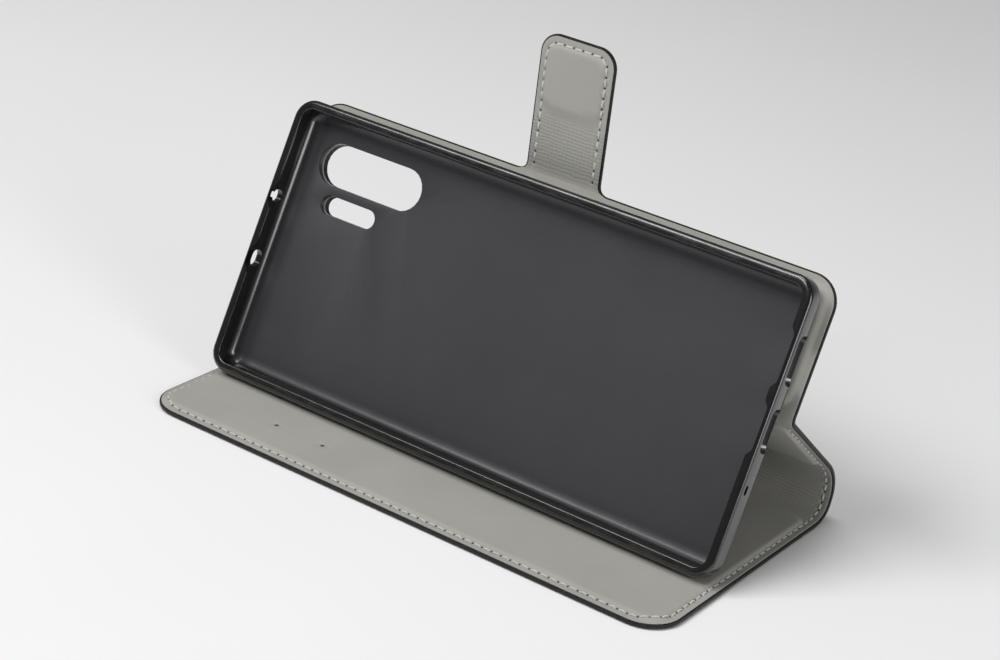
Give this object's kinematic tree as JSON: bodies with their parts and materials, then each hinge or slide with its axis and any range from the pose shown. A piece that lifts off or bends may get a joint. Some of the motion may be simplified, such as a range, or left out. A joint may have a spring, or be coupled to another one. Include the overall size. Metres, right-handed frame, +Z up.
{
  "type": "phone folio case",
  "caption": "Folio case for a large phone, standing open in landscape: flat front cover, soft spine, folding back panel with a phone tray, and a magnetic closing strap.",
  "frame": {"origin": "middle of the whole case's footprint, on the table, under its open stand pose", "axes": "+X along the case's long side, +Y from the cover's free edge to the spine, +Z up"},
  "size_m": [0.167, 0.0868, 0.1131],
  "materials": {
    "leather_black": "fine-grained synthetic leather, satin",
    "lining_grey": "matt light grey lining with a fine embossed texture",
    "greyboard": "plain stiffener board",
    "tray_plastic": "flexible plastic, satin floor and glossy walls",
    "adhesive": "double-sided tape",
    "magnet_steel": "nickel-plated",
    "thread": "light grey sewing thread"
  },
  "bodies": {
    "cover": {"cover_skin": "leather_black", "cover_board": "greyboard", "cover_lining": "lining_grey", "cover_magnet": "magnet_steel", "cover_thread": "thread"},
    "spine_1": {"spine_1_skin": "leather_black", "spine_1_lining": "lining_grey"},
    "spine_2": {"spine_2_skin": "leather_black", "spine_2_lining": "lining_grey"},
    "spine_3": {"spine_3_skin": "leather_black", "spine_3_lining": "lining_grey"},
    "lower_back": {"lower_back_skin": "leather_black", "lower_back_board": "greyboard", "lower_back_lining": "lining_grey", "lower_back_thread_left": "thread", "lower_back_thread_right": "thread"},
    "upper_back": {"upper_back_skin": "leather_black", "upper_back_board": "greyboard", "upper_back_lining": "lining_grey", "tray_adhesive": "adhesive", "phone_tray": "tray_plastic"},
    "strap_root": {"strap_root_skin": "leather_black", "strap_root_lining": "lining_grey"},
    "strap_tab": {"strap_tab_skin": "leather_black", "strap_tab_board": "greyboard", "strap_tab_lining": "lining_grey", "strap_magnet": "magnet_steel", "strap_thread": "thread"}
  },
  "joints": [
    {"name": "cover_fold", "type": "hinge", "parent": "cover", "child": "spine_1", "pos_m": [0, 0.03761, 0.0008], "axis": [1, 0, 0], "range_deg": [-32, 0]},
    {"name": "spine_fold_1", "type": "hinge", "parent": "spine_1", "child": "spine_2", "pos_m": [0, 0.04151, 0.00324], "axis": [1, 0, 0], "range_deg": [-48, 0]},
    {"name": "spine_fold_2", "type": "hinge", "parent": "spine_2", "child": "spine_3", "pos_m": [0, 0.04269, 0.00993], "axis": [1, 0, 0], "range_deg": [-37, 0]},
    {"name": "back_fold", "type": "hinge", "parent": "spine_3", "child": "lower_back", "pos_m": [0, 0.03979, 0.01564], "axis": [1, 0, 0], "range_deg": [-24.4, 0]},
    {"name": "stand_crease", "type": "hinge", "parent": "lower_back", "child": "upper_back", "pos_m": [0, 0.00985, 0.03953], "axis": [1, 0, 0], "range_deg": [0, 75.4]},
    {"name": "strap_fold", "type": "hinge", "parent": "upper_back", "child": "strap_root", "pos_m": [0, 0.02551, 0.0747], "axis": [1, 0, 0], "range_deg": [-100, 66]},
    {"name": "tab_fold", "type": "hinge", "parent": "strap_root", "child": "strap_tab", "pos_m": [0, 0.02551, 0.0895], "axis": [1, 0, 0], "range_deg": [-60, 90]}
  ],
  "couplings": [
    {"joint": "spine_fold_1", "follows": "cover_fold", "ratio": 1.5},
    {"joint": "spine_fold_2", "follows": "cover_fold", "ratio": 1.1562},
    {"joint": "back_fold", "follows": "cover_fold", "ratio": 0.7625},
    {"joint": "stand_crease", "follows": "cover_fold", "ratio": -2.3563}
  ]
}
